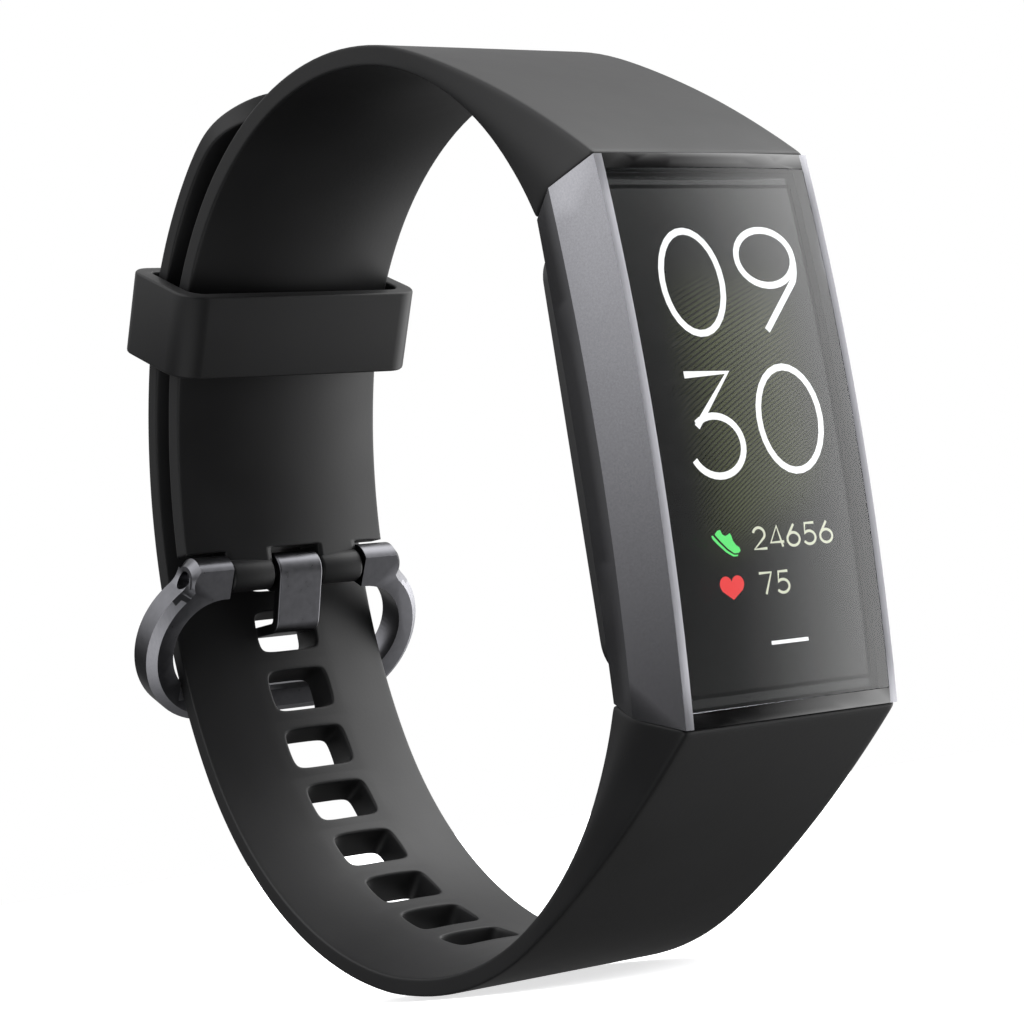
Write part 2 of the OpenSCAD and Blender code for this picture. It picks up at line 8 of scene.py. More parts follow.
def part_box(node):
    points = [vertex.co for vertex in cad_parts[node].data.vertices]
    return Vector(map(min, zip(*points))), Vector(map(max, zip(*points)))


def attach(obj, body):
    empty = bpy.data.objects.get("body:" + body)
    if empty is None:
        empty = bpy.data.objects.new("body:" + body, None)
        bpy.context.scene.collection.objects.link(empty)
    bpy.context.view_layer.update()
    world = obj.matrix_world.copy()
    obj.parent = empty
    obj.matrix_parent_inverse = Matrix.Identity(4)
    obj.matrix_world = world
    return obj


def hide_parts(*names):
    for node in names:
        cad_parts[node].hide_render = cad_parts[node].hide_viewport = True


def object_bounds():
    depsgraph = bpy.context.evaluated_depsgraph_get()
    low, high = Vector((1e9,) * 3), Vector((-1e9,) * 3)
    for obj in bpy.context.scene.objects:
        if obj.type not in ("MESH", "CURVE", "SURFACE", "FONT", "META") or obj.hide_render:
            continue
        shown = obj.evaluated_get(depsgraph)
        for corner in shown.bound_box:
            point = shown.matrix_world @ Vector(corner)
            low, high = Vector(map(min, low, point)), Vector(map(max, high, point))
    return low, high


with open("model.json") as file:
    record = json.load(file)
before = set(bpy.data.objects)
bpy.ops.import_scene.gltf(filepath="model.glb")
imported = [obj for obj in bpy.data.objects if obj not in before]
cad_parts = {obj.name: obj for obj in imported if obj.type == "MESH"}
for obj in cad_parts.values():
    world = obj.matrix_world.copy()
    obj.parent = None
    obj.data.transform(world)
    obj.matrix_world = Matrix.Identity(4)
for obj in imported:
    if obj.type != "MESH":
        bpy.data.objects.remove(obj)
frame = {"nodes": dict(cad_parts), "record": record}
cad_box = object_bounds()


# ---- Studio ---------------------------------------------------------------------
# A product table: a long lens just above the table top, a pale floor that runs out
# of sight, a tall soft panel to the right, a weaker one to the left and one above.

MM = 0.001


def link(thing):
    bpy.context.scene.collection.objects.link(thing)
    return thing


def tone(code):
    """An sRGB hex value as linear red, green, blue and alpha."""
    parts = [int(code[i:i + 2], 16) / 255 for i in (1, 3, 5)]
    return [v / 12.92 if v <= 0.04045 else ((v + 0.055) / 1.055) ** 2.4 for v in parts] + [1.0]


def add(tree, kind, inputs=None, **settings):
    """Adds a node, sets its settings, and sets or links its inputs."""
    made = tree.nodes.new(kind)
    for name, value in settings.items():
        setattr(made, name, value)
    for name, value in (inputs or {}).items():
        if isinstance(value, bpy.types.NodeSocket):
            tree.links.new(value, made.inputs[name])
        else:
            made.inputs[name].default_value = value
    return made


def finish(name):
    """An empty node material for one real finish, with its shader and output."""
    made = bpy.data.materials.new(name)
    made.use_nodes = True
    made.node_tree.nodes.clear()
    shader = add(made.node_tree, "ShaderNodeBsdfPrincipled")
    add(made.node_tree, "ShaderNodeOutputMaterial", {"Surface": shader.outputs[0]})
    return made, made.node_tree, shader


scene = bpy.context.scene
scene.view_settings.view_transform = "Standard"

look_turn = math.radians(-37.25)
look_rise = math.radians(-5.685)
look_roll = math.radians(-8.894)
look_reach = 245.5 * MM
look_at = Vector((2.34, -1.9, -0.34)) * MM
back = Vector((math.sin(look_turn) * math.cos(look_rise),
               -math.cos(look_turn) * math.cos(look_rise), math.sin(look_rise)))
side = (-back).cross(Vector((0, 0, 1))).normalized()
up = side.cross(-back)
lens = bpy.data.cameras.new("studio_camera")
lens.lens = 107.45
lens.sensor_width = 36
lens.clip_start = 0.01
camera = link(bpy.data.objects.new("studio_camera", lens))
across = math.cos(look_roll) * side + math.sin(look_roll) * up
upright = -math.sin(look_roll) * side + math.cos(look_roll) * up
turned = Matrix((across, upright, back)).transposed().to_4x4()
camera.matrix_world = Matrix.Translation(look_at + back * look_reach) @ turned
scene.camera = camera

floor_mesh = bpy.data.meshes.new("studio_floor")
sheet = bmesh.new()
bmesh.ops.create_grid(sheet, x_segments=2, y_segments=2, size=6)
bmesh.ops.translate(sheet, verts=sheet.verts, vec=(0, 0, cad_box[0][2] - 0.2 * MM))
sheet.to_mesh(floor_mesh)
sheet.free()
floor = link(bpy.data.objects.new("studio_floor", floor_mesh))
# White matt laminate, lit well past white so that it runs into the background.
laminate, tree, shader = finish("white_laminate")
place = add(tree, "ShaderNodeTexCoord")
mottle = add(tree, "ShaderNodeTexNoise", {"Vector": place.outputs["Object"], "Scale": 3.0})
paper = add(tree, "ShaderNodeMix",
            {"Factor": mottle.outputs["Fac"], "A": tone("#f4f4f5"), "B": tone("#fafafa")}, data_type="RGBA")
tree.links.new(paper.outputs["Result"], shader.inputs["Base Color"])
tree.links.new(paper.outputs["Result"], shader.inputs["Emission Color"])
shader.inputs["Roughness"].default_value = 0.8
shader.inputs["Specular IOR Level"].default_value = 0.0
shader.inputs["Emission Strength"].default_value = 0.75
floor_mesh.materials.append(laminate)
floor.visible_glossy = False
floor.visible_diffuse = False

studio = bpy.data.worlds.new("studio")
scene.world = studio
studio.use_nodes = True
tree = studio.node_tree
tree.nodes.clear()
way = add(tree, "ShaderNodeTexCoord")
split = add(tree, "ShaderNodeSeparateXYZ", {"Vector": way.outputs["Generated"]})
behind = add(tree, "ShaderNodeMath", {0: split.outputs["Y"], 1: -1.0}, operation="MULTIPLY")
bearing = add(tree, "ShaderNodeMath", {0: split.outputs["X"], 1: behind.outputs[0]}, operation="ARCTAN2")


def ramp(value, low, high, bottom, top):
    """A soft step from one brightness to another."""
    step = add(tree, "ShaderNodeMapRange",
               {"Value": value, "From Min": low, "From Max": high, "To Min": bottom, "To Max": top},
               interpolation_type="SMOOTHSTEP")
    return step.outputs[0]


def times(a, b):
    return add(tree, "ShaderNodeMath", {0: a, 1: b}, operation="MULTIPLY").outputs[0]


def plus(a, b):
    return add(tree, "ShaderNodeMath", {0: a, 1: b}, operation="ADD").outputs[0]


angle = math.radians
right_panel = times(times(ramp(bearing.outputs[0], angle(36), angle(58), 0, 4.6),
                          ramp(bearing.outputs[0], angle(85), angle(125), 1, 0.03)),
                    ramp(split.outputs["Z"], -0.8, -0.3, 0.05, 1))
left_panel = times(times(ramp(bearing.outputs[0], angle(-150), angle(-110), 0.1, 1),
                         ramp(bearing.outputs[0], angle(-80), angle(-35), 1, 0)),
                   ramp(split.outputs["Z"], -0.04, 0.4, 0.0, 2.6))
top_panel = ramp(split.outputs["Z"], 0.35, 0.95, 0, 0.8)
back_panel = times(ramp(split.outputs["Y"], 0.3, 0.9, 0, 0.25),
                   ramp(split.outputs["Z"], -0.1, 0.4, 0.1, 1))
low_way = add(tree, "ShaderNodeVectorMath", {0: way.outputs["Generated"], 1: (-0.63, -0.44, -0.64)},
              operation="DOT_PRODUCT")
low_bounce = ramp(low_way.outputs["Value"], 0.72, 0.97, 0, 1.5)
glow = plus(plus(plus(right_panel, left_panel), low_bounce), plus(plus(top_panel, back_panel), 0.05))
lit = add(tree, "ShaderNodeBackground", {"Color": (1.0, 1.0, 1.0, 1.0), "Strength": glow})
plain = add(tree, "ShaderNodeBackground", {"Color": (1.0, 1.0, 1.0, 1.0), "Strength": 1.0})
path = add(tree, "ShaderNodeLightPath")
choice = add(tree, "ShaderNodeMixShader",
             {0: path.outputs["Is Camera Ray"], 1: lit.outputs[0], 2: plain.outputs[0]})
add(tree, "ShaderNodeOutputWorld", {"Surface": choice.outputs[0]})


# ---- Silicone straps ----------------------------------------------------------------
# Two straps of liquid silicone, each moulded in one piece and crowned towards the wrist.
# The lower one carries twelve slots and lies over the upper one behind the wrist.

half = 10.2
crown = 1.5
front_y = -34.0
seam_y = -26.3
case_half = 20.5
case_deep = 7.7
ridge_deep = 4.1
seam_slope = math.tan(math.radians(20.3))
lower_c = Vector((0.8, -6.0))
lower_in = 29.9
lower_out = 31.3
back_c = Vector((-18.0, 0.5))
back_in = 49.79
back_out = 51.19
upper_c = Vector((-1.2, 7.5))
tail_in = 31.59
tail_out = 32.99
lower_join = -19.07
upper_join = 22.62
walk_start = -6.7
outer_bulge = 2.3
ridge_bulge = 2.0
seam_half = 10.1
ridge_half = 11.4
seam_inset = 0.15
side_levels = (0.16, 0.5, 0.84)


def heading(degrees):
    return Vector((math.cos(math.radians(degrees)), math.sin(math.radians(degrees))))


def root_section(c, r_in, r_out, degrees, lean, t):
    """The section a fraction t of the way from the case's seam to the first bend."""
    seam_out = Vector((front_y, lean * case_half))
    seam_mid = Vector((front_y + ridge_deep, lean * (case_half - ridge_deep * seam_slope)))
    seam_in = Vector((seam_y, lean * (case_half - case_deep * seam_slope)))
    far_out = c + r_out * heading(degrees)
    far_mid = c + (r_in + r_out) / 2 * heading(degrees)
    seam_r = (seam_in - c).length
    seam_turn = lean * math.degrees(math.acos((seam_in[0] - c[0]) / seam_r))
    ease = 1 - (1 - t) ** 2
    bulge = t * (1 - t) * Vector((-1, lean))
    toward = -heading(seam_turn + (degrees - seam_turn) * t)
    inner = c - (seam_r + (r_in - seam_r) * ease) * toward
    outer = seam_out * (1 - t) + far_out * t + outer_bulge * bulge
    ridge = seam_mid * (1 - t) + far_mid * t + ridge_bulge * bulge
    widths = (seam_half * (1 - t) + half * t, ridge_half * (1 - ease) + half * ease,
              (half - seam_inset) * (1 - t) + half * t)
    return outer, ridge, inner, widths, toward * crown * ease


def bend_section(c, r_in, r_out, degrees):
    """The section at a bearing round a bend of even thickness."""
    out = heading(degrees)
    return c + r_out * out, c + (r_in + r_out) / 2 * out, c + r_in * out, (half, half, half), -crown * out


def strap_point(section, across_strap, depth):
    """A flat strap's point, across it and from 0 outside to 1 at the wrist, put on its section."""
    outer, ridge, inner, widths, belly = section
    u = across_strap / half
    if depth < 0.5:
        spot = outer.lerp(ridge, depth * 2)
        wide = widths[0] + (widths[1] - widths[0]) * depth * 2
    else:
        spot = ridge.lerp(inner, depth * 2 - 1)
        wide = widths[1] + (widths[2] - widths[1]) * (depth * 2 - 1)
    spot = spot + belly * (1 - u * u) * depth
    return Vector((u * wide, spot[0], spot[1]))


def flat_sheet(columns, rows):
    """A flat sheet cut along the given columns and rows."""
    made = bmesh.new()
    bmesh.ops.create_grid(made, x_segments=1, y_segments=1, size=0.5)
    bmesh.ops.scale(made, verts=made.verts, vec=(columns[-1] - columns[0], rows[-1] - rows[0], 1))
    bmesh.ops.translate(made, verts=made.verts,
                        vec=((columns[-1] + columns[0]) / 2, (rows[-1] + rows[0]) / 2, 0))
    cuts = [((c, 0, 0), (1, 0, 0)) for c in columns[1:-1]]
    cuts += [((0, r, 0), (0, 1, 0)) for r in rows[1:-1]]
    for spot, normal in cuts:
        bmesh.ops.bisect_plane(made, geom=made.verts[:] + made.edges[:] + made.faces[:], dist=1e-5,
                               plane_co=spot, plane_no=normal)
    return made


def grow(made, geom, way):
    """Extrudes faces and moves their new ends along the given way; returns the new ends."""
    grown = bmesh.ops.extrude_face_region(made, geom=geom)
    ends = [v for v in grown["geom"] if isinstance(v, bmesh.types.BMVert)]
    bmesh.ops.translate(made, verts=ends, vec=way)
    return ends


def thicken(made, levels):
    """Gives the sheet its depth of 1, with loops round its sides at the given levels."""
    grow(made, made.faces[:], (0, 0, 1))
    for level in levels:
        bmesh.ops.bisect_plane(made, geom=made.verts[:] + made.edges[:] + made.faces[:], dist=1e-6,
                               plane_co=(0, 0, level), plane_no=(0, 0, 1))


def settle(made, name, surface, body, node=None, subdivide=0, sharp=35):
    """Turns a bmesh in millimetres into a piece in metres that rides on its body."""
    bmesh.ops.scale(made, verts=made.verts, vec=(MM, MM, MM))
    bmesh.ops.recalc_face_normals(made, faces=made.faces[:])
    mesh = bpy.data.meshes.new(name)
    made.to_mesh(mesh)
    made.free()
    mesh.shade_smooth()
    piece = link(bpy.data.objects.new(name, mesh))
    for one in surface if isinstance(surface, list) else [surface]:
        mesh.materials.append(one)
    if subdivide:
        smooth = piece.modifiers.new("rounding", "SUBSURF")
        smooth.levels = subdivide
        smooth.render_levels = subdivide
    else:
        mesh.set_sharp_from_angle(angle=math.radians(sharp))
    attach(piece, body)
    if node:
        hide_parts(node)
    return piece


# Black liquid silicone rubber from a bead-blasted mould: satin, with a fine leathery
# grain of about 0.3 mm and slightly drier and shinier areas where it has been handled.
silicone, tree, shader = finish("moulded_silicone_satin")
place = add(tree, "ShaderNodeTexCoord")
grain = add(tree, "ShaderNodeTexNoise",
            {"Vector": place.outputs["Object"], "Scale": 1 / (0.30 * MM), "Detail": 3.0})
cloud = add(tree, "ShaderNodeTexNoise",
            {"Vector": place.outputs["Object"], "Scale": 1 / (9 * MM), "Detail": 2.0})
shade = add(tree, "ShaderNodeMix",
            {"Factor": cloud.outputs["Fac"], "A": tone("#131314"), "B": tone("#1a1a1b")}, data_type="RGBA")
gloss = add(tree, "ShaderNodeMapRange", {"Value": cloud.outputs["Fac"], "From Min": 0.3, "From Max": 0.7,
                                         "To Min": 0.42, "To Max": 0.5})
relief = add(tree, "ShaderNodeBump",
             {"Height": grain.outputs["Fac"], "Strength": 0.22, "Distance": 0.02 * MM})
tree.links.new(shade.outputs["Result"], shader.inputs["Base Color"])
tree.links.new(gloss.outputs[0], shader.inputs["Roughness"])
tree.links.new(relief.outputs[0], shader.inputs["Normal"])
shader.inputs["IOR"].default_value = 1.42
shader.inputs["Specular IOR Level"].default_value = 0.3
shader.inputs["Sheen Weight"].default_value = 0.03

back_face = back_in - crown
down = math.radians(walk_start - lower_join) * back_face
rise = math.radians(upper_join - walk_start) * back_face
lower_root_turn = -113.0
tail_turn = 57.0
root_s = -down - math.radians(lower_join - lower_root_turn) * (lower_in - crown)
tail_s = rise + math.radians(tail_turn - upper_join) * (tail_in - crown)
root_long = 8.5
tip_round = 6.0


def lower_section(s):
    """s is the length in mm along the strap's wrist face, from the slot that holds the tongue."""
    if s < root_s:
        t = max(0.0, 1 - (root_s - s) / root_long)
        return root_section(lower_c, lower_in, lower_out, lower_root_turn, -1, t)
    if s < -down:
        turn = lower_join + math.degrees((s + down) / (lower_in - crown))
        return bend_section(lower_c, lower_in, lower_out, turn)
    if s < rise:
        return bend_section(back_c, back_in, back_out, walk_start + math.degrees(s / back_face))
    turn = upper_join + math.degrees((s - rise) / (tail_in - crown))
    return bend_section(upper_c, tail_in, tail_out, turn)


hole_pitch = 5.45
hole_half_w = 3.0
hole_half_h = 1.85
hole_corner = 1.0
corner_share = 0.84
draft_x = 0.12
draft_y = 0.2
hole_order = range(-7, 5)
rows = [root_s - root_long * (1 - t) for t in (0, 0.03, 0.15, 0.35, 0.55, 0.78)]
rows += [root_s, root_s + 4, root_s + 8, root_s + 12]
for i in hole_order:
    rows += [i * hole_pitch + step for step in (-hole_pitch / 2, -0.95, 0.95)]
rows += [4 * hole_pitch + hole_pitch / 2, 27.5, 31.5, 35.5, 39.5, tail_s]
rows += [tail_s + tip_round * v for v in (0.3, 0.55, 0.78, 0.92, 0.985)]
lower = flat_sheet([-half, -9.85, -7, -4.2, -2.2, 0, 2.2, 4.2, 7, 9.85, half], rows)
for i in hole_order:
    middle = i * hole_pitch
    cell = [f for f in lower.faces if abs(f.calc_center_median().x) < 4.2
            and abs(f.calc_center_median().y - middle) < 2.72]
    for spread in (0.75, 0.28, 0.0):
        bmesh.ops.inset_region(lower, faces=cell, thickness=0.3, use_even_offset=True, use_boundary=True)
        rim = {v for f in cell for v in f.verts if any(other not in cell for other in v.link_faces)}
        for v in rim:
            x, y = abs(v.co.x), abs(v.co.y - middle)
            reach = (hole_corner + spread) * corner_share
            if x > 2.35 and y > 1.2:
                spot = (hole_half_w - hole_corner + reach, hole_half_h - hole_corner + reach)
            elif y > 1.2:
                spot = (0 if x < 1 else hole_half_w - hole_corner, hole_half_h + spread)
            else:
                spot = (hole_half_w + spread, hole_half_h - hole_corner)
            v.co.x = math.copysign(spot[0], v.co.x) if x > 1e-4 else 0
            v.co.y = middle + math.copysign(spot[1], v.co.y - middle)
    bmesh.ops.delete(lower, geom=cell, context="FACES")
thicken(lower, side_levels)
# The slots narrow a little towards the outside, as pins leave them in a mould.
for v in lower.verts:
    nearest = min(hole_order, key=lambda i: abs(v.co.y - i * hole_pitch)) * hole_pitch
    if abs(v.co.x) < hole_half_w + 0.05 and abs(v.co.y - nearest) < hole_half_h + 0.05:
        v.co.x *= 1 - draft_x * (1 - v.co.z)
        v.co.y = nearest + (v.co.y - nearest) * (1 - draft_y * (1 - v.co.z))
for v in lower.verts:
    s = v.co.y
    along = min(max((s - tail_s) / tip_round, 0), 0.985)
    squeeze = (half - tip_round + tip_round * math.sqrt(1 - along * along)) / half
    v.co = strap_point(lower_section(s), v.co.x * squeeze, v.co.z)
settle(lower, "lower_strap_body", silicone, "band", "lower_strap", subdivide=2)

upper_in = 28.0
upper_out = 29.6
upper_root_turn = 115.0
bar_turn = -0.87
notch_turn = 1.75
slot_half = 2.45
roll_half = 6.7


def upper_section(s):
    """s runs from 0 at the seam to 1 at the first bend, then in degrees of bend."""
    if s < 1:
        return root_section(upper_c, upper_in, upper_out, upper_root_turn, 1, s)
    turn = upper_root_turn - (s - 1)
    if turn > upper_join:
        return bend_section(upper_c, upper_in, upper_out, turn)
    return bend_section(back_c, upper_in + 18.2, upper_out + 18.2, turn)


rows = [0, 0.03, 0.15, 0.35, 0.55, 0.78, 1.0]
rows += [1 + upper_root_turn - turn for turn in (
    106, 96, 86, 76, 66, 56, 46, 36, 28, upper_join, 19, 15, 11, 7, 4, 2.6, notch_turn, 1.2, 0.3, bar_turn)]
upper = flat_sheet([-half, -9.85, -8.5, -roll_half, -4.6, -slot_half, 0,
                    slot_half, 4.6, roll_half, 8.5, 9.85, half], rows)
notch_s = 1 + upper_root_turn - notch_turn
cut = [f for f in upper.faces if f.calc_center_median().y > notch_s
       and not slot_half < abs(f.calc_center_median().x) < roll_half]
bmesh.ops.delete(upper, geom=cut, context="FACES")
thicken(upper, side_levels)
crease = upper.edges.layers.float.new("crease_edge")
for e in upper.edges:
    if all(v.co.y > notch_s - 1e-3 for v in e.verts) and e.calc_face_angle(0) > 1:
        e[crease] = 0.75
for v in upper.verts:
    v.co = strap_point(upper_section(v.co.y), v.co.x, v.co.z)
settle(upper, "upper_strap_body", silicone, "band", "upper_strap", subdivide=2)

# The end of the upper strap is rolled round the spring bar in two short barrels, left
# and right of the tongue. They are part of the same moulding.
bar = Vector((0, 27.9, -0.2))
bore_r = 0.77
roll_r = 1.45
for sign in (-1, 1):
    barrel = bmesh.new()
    corners = [barrel.verts.new((sign * x, bar.y + r, bar.z)) for x, r in
               ((slot_half, bore_r), (roll_half, bore_r), (roll_half, roll_r), (slot_half, roll_r))]
    barrel.faces.new(corners)
    bmesh.ops.bevel(barrel, geom=[corners[2], corners[3]], offset=0.28, segments=4, profile=0.5,
                    affect="VERTICES", material=-1)
    bmesh.ops.spin(barrel, geom=barrel.faces[:] + barrel.edges[:] + barrel.verts[:], cent=bar,
                   axis=(1, 0, 0), angle=math.tau, steps=56, use_merge=True)
    bmesh.ops.remove_doubles(barrel, verts=barrel.verts, dist=1e-4)
    inside = [f for f in barrel.faces if len(f.verts) > 4]
    bmesh.ops.delete(barrel, geom=inside, context="FACES_ONLY")
    settle(barrel, "strap_barrel_left" if sign < 0 else "strap_barrel_right", silicone, "band",
           "upper_strap")


# ---- Keeper -------------------------------------------------------------------------
# A free loop of the same silicone that slides along both straps and holds the loose end.
# It is moulded flat-sided, with round corners, rounder on the wrist side.

keeper_turn = 28.3
keeper_low = 26.1
keeper_high = 33.29
keeper_half = 10.7
keeper_wall = 1.45
keeper_long = 7.2

keeper = bmesh.new()
for wall, wrist_corner, outer_corner in ((keeper_wall, 2.4, 1.9), (0, 1.2, 0.45)):
    corners = [keeper.verts.new((x, y, -keeper_long / 2)) for x, y in
               ((-keeper_half - wall, keeper_low - wall), (keeper_half + wall, keeper_low - wall),
                (keeper_half + wall, keeper_high + wall), (-keeper_half - wall, keeper_high + wall))]
    keeper.faces.new(corners)
    for pair, radius in ((corners[:2], wrist_corner), (corners[2:], outer_corner)):
        bmesh.ops.bevel(keeper, geom=pair, offset=radius, segments=8, profile=0.5,
                        affect="VERTICES", material=-1)
bmesh.ops.delete(keeper, geom=keeper.faces[:], context="FACES_ONLY")
bmesh.ops.bridge_loops(keeper, edges=keeper.edges[:])
grow(keeper, keeper.faces[:], (0, 0, keeper_long))
bmesh.ops.recalc_face_normals(keeper, faces=keeper.faces[:])
rims = [e for e in keeper.edges if e.calc_face_angle(0) > 1.2]
bmesh.ops.bevel(keeper, geom=rims, offset=0.22, segments=3, profile=0.5, affect="EDGES", material=-1)
out = heading(keeper_turn)
for v in keeper.verts:
    spot = upper_c + v.co.y * out + v.co.z * Vector((-out[1], out[0]))
    v.co = Vector((v.co.x, spot[0], spot[1]))
settle(keeper, "keeper_body", silicone, "keeper", "keeper_loop", sharp=50)


# ---- Case ---------------------------------------------------------------------------
# The metal case: an aluminium frame in dark satin anodising, its long front edges cut
# bright, and its two end lips lacquered black to run on from the glass.

flat_angle = 0.6


def worked_copy(node, whole=True):
    """A merged copy of a CAD node's mesh, in millimetres, with its flat faces made whole."""
    made = bmesh.new()
    made.from_mesh(frame["nodes"][node].data)
    bmesh.ops.scale(made, verts=made.verts, vec=(1 / MM, 1 / MM, 1 / MM))
    bmesh.ops.remove_doubles(made, verts=made.verts, dist=2e-4)
    if whole:
        bmesh.ops.dissolve_limit(made, angle_limit=math.radians(flat_angle), verts=made.verts[:],
                                 edges=made.edges[:])
    return made


def soften(piece, width, limit=28):
    """A fine worked edge, as tumbling or polishing leaves."""
    edge = piece.modifiers.new("worked_edge", "BEVEL")
    edge.width = width * MM
    edge.segments = 3
    edge.limit_method = "ANGLE"
    edge.angle_limit = math.radians(limit)
    return piece


# Bead-blasted and anodised aluminium in dark grey: a metal's reflections, blurred by a
# blast texture of about 0.08 mm, drawn at 0.15 mm so that it shows.
anodised, tree, shader = finish("anodised_aluminium_dark")
place = add(tree, "ShaderNodeTexCoord")
blast = add(tree, "ShaderNodeTexNoise",
            {"Vector": place.outputs["Object"], "Scale": 1 / (0.15 * MM), "Detail": 2.0})
shade = add(tree, "ShaderNodeMix",
            {"Factor": blast.outputs["Fac"], "A": tone("#77777b"), "B": tone("#8a8a8e")}, data_type="RGBA")
relief = add(tree, "ShaderNodeBump",
             {"Height": blast.outputs["Fac"], "Strength": 0.1, "Distance": 0.01 * MM})
tree.links.new(shade.outputs["Result"], shader.inputs["Base Color"])
tree.links.new(relief.outputs[0], shader.inputs["Normal"])
shader.inputs["Metallic"].default_value = 1.0
shader.inputs["Roughness"].default_value = 0.25

# Diamond-cut aluminium: bright metal with cutter lines about 0.05 mm apart along the
# cut, drawn at 0.12 mm, which spread its reflections along the case.
bright_cut, tree, shader = finish("diamond_cut_aluminium")
place = add(tree, "ShaderNodeTexCoord")
along = add(tree, "ShaderNodeMapping", {"Vector": place.outputs["Object"],
                                        "Scale": (1 / (0.12 * MM), 1 / (0.12 * MM), 1 / (8 * MM))})
lines = add(tree, "ShaderNodeTexNoise", {"Vector": along.outputs[0], "Scale": 1.0, "Detail": 2.0})
shade = add(tree, "ShaderNodeMix",
            {"Factor": lines.outputs["Fac"], "A": tone("#88888d"), "B": tone("#9a9a9f")}, data_type="RGBA")
relief = add(tree, "ShaderNodeBump",
             {"Height": lines.outputs["Fac"], "Strength": 0.06, "Distance": 0.01 * MM})
tree.links.new(shade.outputs["Result"], shader.inputs["Base Color"])
tree.links.new(relief.outputs[0], shader.inputs["Normal"])
shader.inputs["Metallic"].default_value = 0.7
shader.inputs["Roughness"].default_value = 0.45

# Black lacquer over the metal lips: a deep black with a clear gloss coat and the faint
# waviness of a sprayed film.
lacquer, tree, shader = finish("black_lacquer_gloss")
place = add(tree, "ShaderNodeTexCoord")
wave = add(tree, "ShaderNodeTexNoise",
           {"Vector": place.outputs["Object"], "Scale": 1 / (2.5 * MM), "Detail": 1.0})
shade = add(tree, "ShaderNodeMix",
            {"Factor": wave.outputs["Fac"], "A": tone("#060607"), "B": tone("#0b0b0c")}, data_type="RGBA")
relief = add(tree, "ShaderNodeBump",
             {"Height": wave.outputs["Fac"], "Strength": 0.03, "Distance": 0.02 * MM})
tree.links.new(shade.outputs["Result"], shader.inputs["Base Color"])
tree.links.new(relief.outputs[0], shader.inputs["Normal"])
shader.inputs["Roughness"].default_value = 0.12
shader.inputs["Coat Weight"].default_value = 0.6

bow_r = 195.0
bow_y = front_y + math.sqrt(bow_r ** 2 - case_half ** 2)
front_band = 0.5
strip_from = 9.4
lip_from = 19.4
case = worked_copy("case_frame", whole=False)
for spot in (Vector((strip_from, 0, 0)), Vector((-strip_from, 0, 0)),
             Vector((0, 0, lip_from)), Vector((0, 0, -lip_from))):
    bmesh.ops.bisect_plane(case, geom=case.verts[:] + case.edges[:] + case.faces[:], dist=2e-3,
                           plane_co=spot, plane_no=(1, 0, 0) if spot.x else (0, 0, 1))
for f in case.faces:
    spot = f.calc_center_median()
    ray = Vector((0, spot.y - bow_y, spot.z))
    facing = f.normal.dot(ray.normalized())
    if ray.length > bow_r - front_band and facing > 0.5:
        f.material_index = 1 if abs(spot.x) > strip_from else 2
bmesh.ops.dissolve_limit(case, angle_limit=math.radians(0.1), verts=case.verts[:], edges=case.edges[:],
                         delimit={"MATERIAL"})
soften(settle(case, "case_body", [anodised, bright_cut, lacquer], "band", "case_frame"),
       0.09)


# ---- Cover glass and display ---------------------------------------------------------
# A bowed, strengthened glass lies over a flexible lit display panel. The panel shows
# the time, a step count and a pulse over a field of fine olive stripes.

# Polished aluminosilicate glass with a very slight waviness. It is drawn clear and without
# refraction, and its surface reflections are added to what is under it.
glass, tree, shader = finish("polished_cover_glass")
place = add(tree, "ShaderNodeTexCoord")
wave = add(tree, "ShaderNodeTexNoise",
           {"Vector": place.outputs["Object"], "Scale": 1 / (6 * MM), "Detail": 1.0})
tint = add(tree, "ShaderNodeMix",
           {"Factor": wave.outputs["Fac"], "A": tone("#000000"), "B": tone("#030303")}, data_type="RGBA")
relief = add(tree, "ShaderNodeBump",
             {"Height": wave.outputs["Fac"], "Strength": 0.01, "Distance": 0.01 * MM})
tree.links.new(tint.outputs["Result"], shader.inputs["Base Color"])
tree.links.new(relief.outputs[0], shader.inputs["Normal"])
shader.inputs["Roughness"].default_value = 0.02
shader.inputs["IOR"].default_value = 1.52
clear = add(tree, "ShaderNodeBsdfTransparent", {"Color": tone("#f4f5f5")})
both = add(tree, "ShaderNodeAddShader", {0: clear.outputs[0], 1: shader.outputs[0]})
tree.links.new(both.outputs[0], tree.nodes["Material Output"].inputs["Surface"])
glass_high = Vector(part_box("cover_glass")[1]) / MM
front_crown = 0.35
glass_thick = 1.0


def bowed_plate(half_x, half_z, face_r, thick, crowned, middle_z=0):
    """A plate that follows the case's bow, with its front a little crowned across it."""
    made = bmesh.new()
    bmesh.ops.create_grid(made, x_segments=24, y_segments=64, size=1)
    bmesh.ops.scale(made, verts=made.verts, vec=(half_x, half_z, 1))
    back = set(grow(made, made.faces[:], (0, 0, 0)))
    for v in made.verts:
        x, z = v.co.x, v.co.y + middle_z
        r = face_r - thick if v in back else face_r + crowned * (1 - (x / seam_half) ** 2)
        v.co = Vector((x, bow_y - math.sqrt(r * r - z * z), z))
    return made


lip_half_x = 9.35
lip_half_z = 0.5
lip_middle = 19.95
lacquer_film = 0.02
lip_thick = 0.3
for end, name in ((1, "end_lip_upper"), (-1, "end_lip_lower")):
    lip = bowed_plate(lip_half_x, lip_half_z, bow_r + lacquer_film, lip_thick, 0, end * lip_middle)
    settle(lip, name, lacquer, "band")
pane = bowed_plate(glass_high.x, glass_high.z, bow_r, glass_thick, front_crown)
settle(pane, "cover_glass_pane", glass, "band", "cover_glass")

